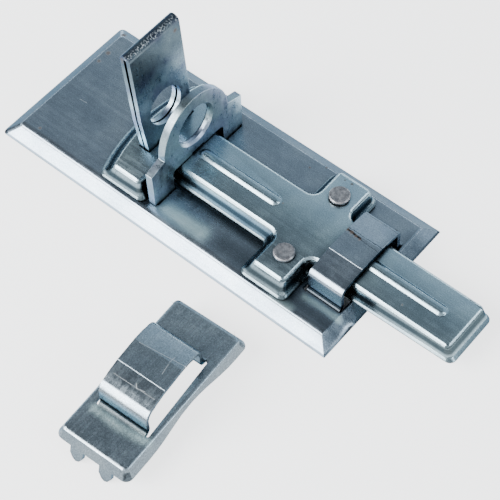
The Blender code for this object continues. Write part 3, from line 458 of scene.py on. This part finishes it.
def zinc(name, look):
    """Make zinc plating: drifting tones, fine grain, draw marks, smudges, scratches and rust, with
    painted sheen and painted shade.
    """
    material = bpy.data.materials.new(name)
    material.use_nodes = True
    tree = material.node_tree
    shader = tree.nodes["Principled BSDF"]
    cloud = add_noise(tree, *CLOUD)
    grain = add_noise(tree, *GRAIN)
    streak = add_noise(tree, *STREAK, look["streak"])
    drift = add_noise(tree, look["drift"], *DRIFT)
    haze_and_painted_sheen = add_lines(tree, look["haze_and_painted_sheen"], HAZY) if "haze_and_painted_sheen" in look else None

    colour = add_ramp(tree, drift, list(zip(DRIFT_PLACES, look["tones"])))
    # Painted sheen: pale patches on the plating that stand in for caught light, where it is also
    # rougher
    if haze_and_painted_sheen is not None:
        colour = add_mix(tree, add_math(tree, "MULTIPLY", haze_and_painted_sheen, PAINTED_SHEEN_SHARE), colour, PAINTED_SHEEN)
    # Painted shade: dark bands laid on the plating
    if "shade" in look:
        mask = add_math(tree, "MULTIPLY", add_lines(tree, look["shade"], HAZY), PAINTED_SHADE_SHARE)
        colour = add_mix(tree, mask, colour, PAINTED_SHADE)
    for share, noise, stops in ((CLOUD_SHARE, cloud, CLOUDS), (look["grain"], grain, SPECKLE),
                                (look["lines"], streak, DRAW_MARKS)):
        colour = add_mix(tree, share, colour, add_ramp(tree, noise, stops), "MULTIPLY")
    # Painted shade: darker by side, on the pressed walls, towards the top and in corners
    for tone in list_painted_shade(tree, look):
        colour = add_mix(tree, 1.0, colour, tone, "MULTIPLY")
    rough = add_math(tree, "ADD", add_ramp(tree, cloud, list(zip(GLOSS_PLACES, look["gloss"]))),
                     add_ramp(tree, streak, DRAW_ROUGHNESS))
    colour, rough, metal = add_marks(tree, look, colour, rough, haze_and_painted_sheen)

    normal = shape_normal(tree, look)
    normal = add_bump(tree, add_noise(tree, *WAVE), *WAVE_RELIEF, normal)
    normal = add_bump(tree, streak, *DRAW_RELIEF, normal)
    normal = add_bump(tree, grain, GRAIN_DEPTH, look["spangle"], normal)
    shader.inputs["Specular Tint"].default_value = EDGE_TINT
    for socket, value in (("Base Color", colour), ("Roughness", rough), ("Metallic", metal),
                          ("Normal", normal)):
        put(tree, shader.inputs[socket], value)
    return material


def smooth_by_angle(name, crown):
    """Make the node group that shades smooth below an angle, and keeps creases above a height."""
    group = bpy.data.node_groups.new(name, "GeometryNodeTree")
    group.interface.new_socket("Mesh", in_out="INPUT", socket_type="NodeSocketGeometry")
    group.interface.new_socket("Mesh", in_out="OUTPUT", socket_type="NodeSocketGeometry")
    start = group.nodes.new("NodeGroupInput")
    end = group.nodes.new("NodeGroupOutput")
    plain = group.nodes.new("GeometryNodeRemoveAttribute")
    plain.inputs["Name"].default_value = "custom_normal"
    faces = group.nodes.new("GeometryNodeSetShadeSmooth")
    edges = group.nodes.new("GeometryNodeSetShadeSmooth")
    edges.domain = "EDGE"
    angle = group.nodes.new("GeometryNodeInputMeshEdgeAngle")
    place = group.nodes.new("GeometryNodeInputPosition")
    split = group.nodes.new("ShaderNodeSeparateXYZ")
    above = group.nodes.new("FunctionNodeCompare")
    above.operation = "GREATER_THAN"
    above.inputs["B"].default_value = crown
    limit = group.nodes.new("GeometryNodeSwitch")
    limit.input_type = "FLOAT"
    limit.inputs["False"].default_value = SMOOTH_ANGLE
    limit.inputs["True"].default_value = CREASE_ANGLE
    flat = group.nodes.new("FunctionNodeCompare")
    flat.operation = "LESS_EQUAL"
    for source, target in (
            (place.outputs[0], split.inputs[0]), (split.outputs["Z"], above.inputs["A"]),
            (above.outputs[0], limit.inputs["Switch"]), (limit.outputs[0], flat.inputs["B"]),
            (angle.outputs["Unsigned Angle"], flat.inputs["A"]),
            (start.outputs[0], plain.inputs[0]), (plain.outputs[0], faces.inputs["Geometry"]),
            (faces.outputs[0], edges.inputs["Geometry"]),
            (flat.outputs[0], edges.inputs["Shade Smooth"]), (edges.outputs[0], end.inputs[0])):
        link(group, source, target)
    return group


def finish_solid(node, crown, edge_break):
    """Weld a solid's facets, break its sheared edges and shade its bends smooth."""
    weld = node.modifiers.new("weld", "WELD")
    weld.merge_threshold = WELD
    flats = node.modifiers.new("flats", "DECIMATE")
    flats.decimate_type = "DISSOLVE"
    flats.angle_limit = FLAT_ANGLE
    if edge_break:
        bevel = node.modifiers.new("edge_break", "BEVEL")
        bevel.width = edge_break
        bevel.segments = EDGE_SEGMENTS
        bevel.limit_method = "ANGLE"
        bevel.angle_limit = SHEARED_ANGLE
        bevel.use_clamp_overlap = False
    shade = node.modifiers.new("shade", "NODES")
    shade.node_group = smooth_by_angle(node.name + "_shade", crown)
    weigh = node.modifiers.new("weigh", "WEIGHTED_NORMAL")
    weigh.keep_sharp = True
    weigh.weight = FLAT_WEIGHT


def make_camera():
    """Place the camera as the photograph was taken."""
    back = Vector((math.sin(AZIMUTH) * math.cos(ELEVATION),
                   -math.cos(AZIMUTH) * math.cos(ELEVATION), math.sin(ELEVATION)))
    right = (-back).cross(Vector((0.0, 0.0, 1.0))).normalized()
    up = right.cross(-back)
    across = right * math.cos(ROLL) + up * math.sin(ROLL)
    upward = up * math.cos(ROLL) - right * math.sin(ROLL)
    data = bpy.data.cameras.new("camera")
    data.sensor_width = SENSOR
    data.lens = FOCAL_PIXELS / FRAME_PIXELS * SENSOR
    data.clip_start = NEAR_CLIP
    camera = bpy.data.objects.new("camera", data)
    turn = Matrix((across, upward, back)).transposed().to_4x4()
    camera.matrix_world = Matrix.Translation(AIM + back * DISTANCE) @ turn
    bpy.context.scene.collection.objects.link(camera)
    bpy.context.scene.camera = camera


def make_floor():
    """Lay the plain pale floor, which glows evenly but for a painted shadow beneath the plate."""
    half = FLOOR_HALF
    mesh = bpy.data.meshes.new("floor")
    mesh.from_pydata([(-half, -half, 0), (half, -half, 0), (half, half, 0), (-half, half, 0)], [],
                     [(0, 1, 2, 3)])
    floor = bpy.data.objects.new("floor", mesh)
    bpy.context.scene.collection.objects.link(floor)
    material = bpy.data.materials.new("pale_floor")
    material.use_nodes = True
    tree = material.node_tree
    shader = tree.nodes["Principled BSDF"]
    tone = add_ramp(tree, add_noise(tree, *FLOOR_NOISE), FLOOR_STOPS)
    link(tree, tone, shader.inputs["Base Color"])
    shader.inputs["Roughness"].default_value = FLOOR_ROUGH
    shader.inputs["Specular IOR Level"].default_value = FLOOR_SPECULAR
    shader.inputs["Emission Color"].default_value = (1.0, 1.0, 1.0, 1.0)
    # Painted shadow: no glow beneath the plate, inside its rim
    shadow_bands = [add_band(tree, place, low + PLATE_RIM, high - PLATE_RIM, PLATE_RIM / 4)
              for place, low, high in zip(add_axes(tree)[:2], PLATE_LOW, PLATE_HIGH)]
    painted_shadow = add_math(tree, "MULTIPLY", *shadow_bands)
    glow = add_math(tree, "MULTIPLY_ADD", painted_shadow, -FLOOR_GLOW, FLOOR_GLOW)
    link(tree, glow, shader.inputs["Emission Strength"])
    mesh.materials.append(material)


def add_light(name, direction, distance, width, height, power, colour):
    """Hang a softbox in a direction from the part, facing it."""
    data = bpy.data.lights.new(name, "AREA")
    data.shape = "RECTANGLE"
    data.size = width
    data.size_y = height
    data.energy = power
    data.color = colour
    lamp = bpy.data.objects.new(name, data)
    way = Vector(direction).normalized()
    lamp.location = AIM + way * distance
    lamp.rotation_euler = way.to_track_quat("Z", "Y").to_euler()
    bpy.context.scene.collection.objects.link(lamp)


def make_lights():
    """Light the set with softboxes, in a room that is pale in front and behind, dark overhead."""
    for softbox in SOFTBOXES:
        add_light(*softbox)
    world = bpy.data.worlds.new("room")
    world.use_nodes = True
    bpy.context.scene.world = world
    tree = world.node_tree
    place = tree.nodes.new("ShaderNodeTexCoord")
    split = tree.nodes.new("ShaderNodeSeparateXYZ")
    link(tree, place.outputs["Generated"], split.inputs[0])
    swing = add_math(tree, "ARCTAN2", split.outputs["Z"], split.outputs["Y"])
    tone = add_ramp(tree, add_math(tree, "DIVIDE", swing, math.pi), ROOM_STOPS)
    link(tree, tone, tree.nodes["Background"].inputs["Color"])


# What a look holds. Spots are (place, radius) and lines (start, end, half width): those
# without a height lie on the faces that look up. Heights are in metres.
#   tones      dark, plain and light colour
#   drift      scale at which the tones drift
#   gloss      least and most roughness
#   grain, lines, spangle   strength of the speckle, of the draw marks and of the fine relief
#   streak     stretch of the draw marks, small along them
#   sides      (way, start, end, darkening) of each side that painted shade darkens as it turns that way
#   wall       (low, high, darkening, lift at the nose, softness) of the painted shade on the pressed walls
#   fade       (low, high, darkening) of the painted shade from one height to another
#   edge       height of the dark cut edge at the foot
#   haze, shade, scratches, cracks, crust   lines of painted sheen, of painted shade and of marks on the plating, and rust spots on it
#   ribs       (low, high, factor) of the bends that look crisper
#   camber     (middle, rate) of the slight crown across a flat
#   brow       (strength, low, high) of the near bends' highlight, left out between the two
#   border     (place, reach, lean) of the dished near border
#   flange     (low, high, lean, lift at the nose) of the rolled foot
#   ridges, glints   lines where the sheet is raised, and where it is dished
PLAIN = {"drift": 90.0, "grain": 0.7, "lines": 0.3, "spangle": 0.45, "streak": (0.06, 1.0, 1.0)}
PLATE_TONES = ((0.35, 0.43, 0.51), (0.40, 0.485, 0.57), (0.46, 0.55, 0.63))
DOWN, LEFT, FRONT = (0.0, 0.0, -1.0), (-1.0, 0.0, 0.0), (0.0, -1.0, 0.0)
RIGHT, BACK = (1.0, 0.0, 0.0), (0.0, 1.0, 0.0)
LOOKS = {
    "base_plate": {
        "tones": PLATE_TONES, "gloss": (0.20, 0.26), "lines": 0.2, "edge": 0.0006,
        "ribs": (0.0028, 0.0030, 1.8), "brow": (0.5, 0.0, 0.0080),
        "border": (0.0095, 0.0022, 0.40), "wall": (0.0030, 0.0046, 0.16, 0.0, 0.00006),
        "sides": [(DOWN, -0.5, -0.2, 0.30), (LEFT, 0.3, 0.5, 0.22), (BACK, 0.3, 0.5, 0.30)],
        "glints": [((0.0480, 0.0070), (0.0468, 0.0170), 0.0032)],
        "ridges": [((0.0296, 0.0274), (0.0414, 0.0274), 0.00020)],
        # painted sheen: pale patches on the plate's top, also rougher
        "haze_and_painted_sheen": [((-0.0170, 0.0137), (-0.0040, 0.0140), 0.0046),
                 ((0.0240, 0.0112), (0.0300, 0.0113), 0.0022),
                 ((0.0310, 0.0158), (0.0420, 0.0162), 0.0020)],
        # painted shade: dark bands beside the stem's foot and over the plate's right part
        "shade": [((-0.0145, 0.0215), (0.0100, 0.0215), 0.0046),
                  ((0.0030, 0.0150), (0.0120, 0.0150), 0.0070),
                  ((0.0260, 0.0130), (0.0480, 0.0125), 0.0060),
                  ((0.0440, 0.0200), (0.0440, 0.0480), 0.0060)],
        "scratches": [((-0.0630, 0.0274), (-0.0603, 0.0276), 0.00009),
                      ((-0.0002, 0.0091), (0.0008, 0.0086), 0.00010)],
        "cracks": [((0.0300, 0.0359), (0.0413, 0.0359), 0.00012),
                   ((0.0332, 0.0347), (0.0409, 0.0343), 0.00009),
                   ((0.0298, 0.0352), (0.0346, 0.0348), 0.00045)],
        "rust": [((-0.0646, 0.0123), 0.0008), ((-0.0686, 0.0455), 0.0012),
                 ((-0.0686, 0.0415), 0.0009), ((-0.0702, 0.0540), 0.0012),
                 ((0.0051, 0.0501), 0.0005), ((0.0088, 0.0531), 0.0005),
                 ((0.0370, 0.0481), 0.0006), ((0.0300, 0.0351), 0.0009),
                 ((0.0316, 0.0350), 0.0010), ((0.0332, 0.0347), 0.0008),
                 ((0.0346, 0.0345), 0.0007)]},
    "keeper": {
        "tones": ((0.37, 0.455, 0.52), (0.42, 0.51, 0.575), (0.48, 0.575, 0.635)),
        "gloss": (0.21, 0.28), "grain": 1.0, "edge": 0.0001, "streak": (1.0, 0.08, 1.0),
        "ribs": (0.0079, 0.0087, 1.75), "brow": (0.9, 0.0089, 0.0120),
        "wall": (0.00857, 0.0102, 0.16, 0.0, 0.00004), "sides": [(DOWN, -0.62, -0.46, 0.30)],
        "ridges": [((0.0117, -0.0347), (0.0272, -0.0339), 0.00018)],
        # painted sheen: pale patches on the keeper, also rougher
        "haze_and_painted_sheen": [((0.0130, -0.0457), (0.0215, -0.0456), 0.0027),
                 ((0.0215, -0.0456), (0.0286, -0.0444), 0.0027)],
        "scratches": [((0.0126, -0.0277), (0.0273, -0.0253), 0.00009),
                      ((0.0226, -0.0278), (0.0232, -0.0308), 0.00012),
                      ((0.0225, -0.0252), (0.0224, -0.0272), 0.00009),
                      ((0.0199, -0.0367), (0.0208, -0.0377), 0.00018),
                      ((0.0208, -0.0377), (0.0231, -0.0371), 0.00010),
                      ((0.0134, -0.0381), (0.0264, -0.0372), 0.00008)]},
    "bolt": {
        "tones": ((0.36, 0.49, 0.56), (0.42, 0.56, 0.63), (0.50, 0.66, 0.72)),
        "gloss": (0.20, 0.26), "camber": (BOLT_MIDDLE, 15.0), "ribs": (0.0096, 0.0120, 1.9),
        "brow": (0.9, 0.0, 0.0082), "flange": (BOLT_FOOT - 0.0005, 0.0047, 0.75, NOSE_LIFT),
        "wall": (0.0055, 0.0077, 0.20, NOSE_LIFT, 0.0006),
        "sides": [(DOWN, -0.70, -0.55, 0.45)],
        "cracks": [((0.0671, 0.0390), (0.0722, 0.0386), 0.00014)],
        "rust": [((0.0209, 0.0489), 0.0006), ((0.0186, 0.0488), 0.0004),
                 ((0.0282, 0.0479), 0.0006), ((0.0549, 0.0265), 0.0005),
                 ((0.0102, 0.0321), 0.0004)]},
    "padlock_eye": {
        "tones": ((0.42, 0.50, 0.64), (0.50, 0.64, 0.73), (0.60, 0.78, 0.83)),
        "gloss": (0.24, 0.36), "drift": 110.0, "spangle": 0.5, "streak": (1.0, 1.0, 0.08),
        "sides": [(FRONT, 0.5, 0.8, 0.65)], "fade": (0.010, 0.024, 0.60)},
    "padlock_tongue": {
        "tones": ((0.27, 0.32, 0.45), (0.38, 0.50, 0.59), (0.50, 0.65, 0.73)),
        "gloss": (0.24, 0.36), "drift": 130.0, "spangle": 0.5, "streak": (1.0, 1.0, 0.08),
        "sides": [(RIGHT, 0.7, 0.9, 0.75)], "fade": (0.024, 0.041, 0.24),
        "crust": [((-0.0334, 0.0222, 0.0472), (-0.0334, 0.0408, 0.0472), 0.0011)],
        "rust": [((-0.0322, 0.0392, 0.0442), 0.0010), ((-0.0350, 0.0222, 0.0462), 0.0010),
                 ((-0.0350, 0.0222, 0.0452), 0.0008)]},
    "stiffener": {"tones": PLATE_TONES, "gloss": (0.24, 0.38)},
    "rivet": {
        "tones": ((0.27, 0.265, 0.28), (0.39, 0.385, 0.40), (0.52, 0.515, 0.53)),
        "gloss": (0.36, 0.55), "drift": 900.0, "grain": 0.9, "spangle": 0.8},
}


def dress_solids():
    """Give every solid of the frame its finish."""
    materials = {name: zinc(name + "_finish", {**PLAIN, **look}) for name, look in LOOKS.items()}
    for name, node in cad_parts.items():
        material = materials["rivet" if name.startswith("rivet") else name]
        for index in range(len(node.data.materials)):
            node.data.materials[index] = material
        finish_solid(node, CROWNS.get(name, NO_CROWN), EDGE_BREAKS.get(name, EDGE_BREAK))


make_camera()
make_floor()
make_lights()
dress_solids()
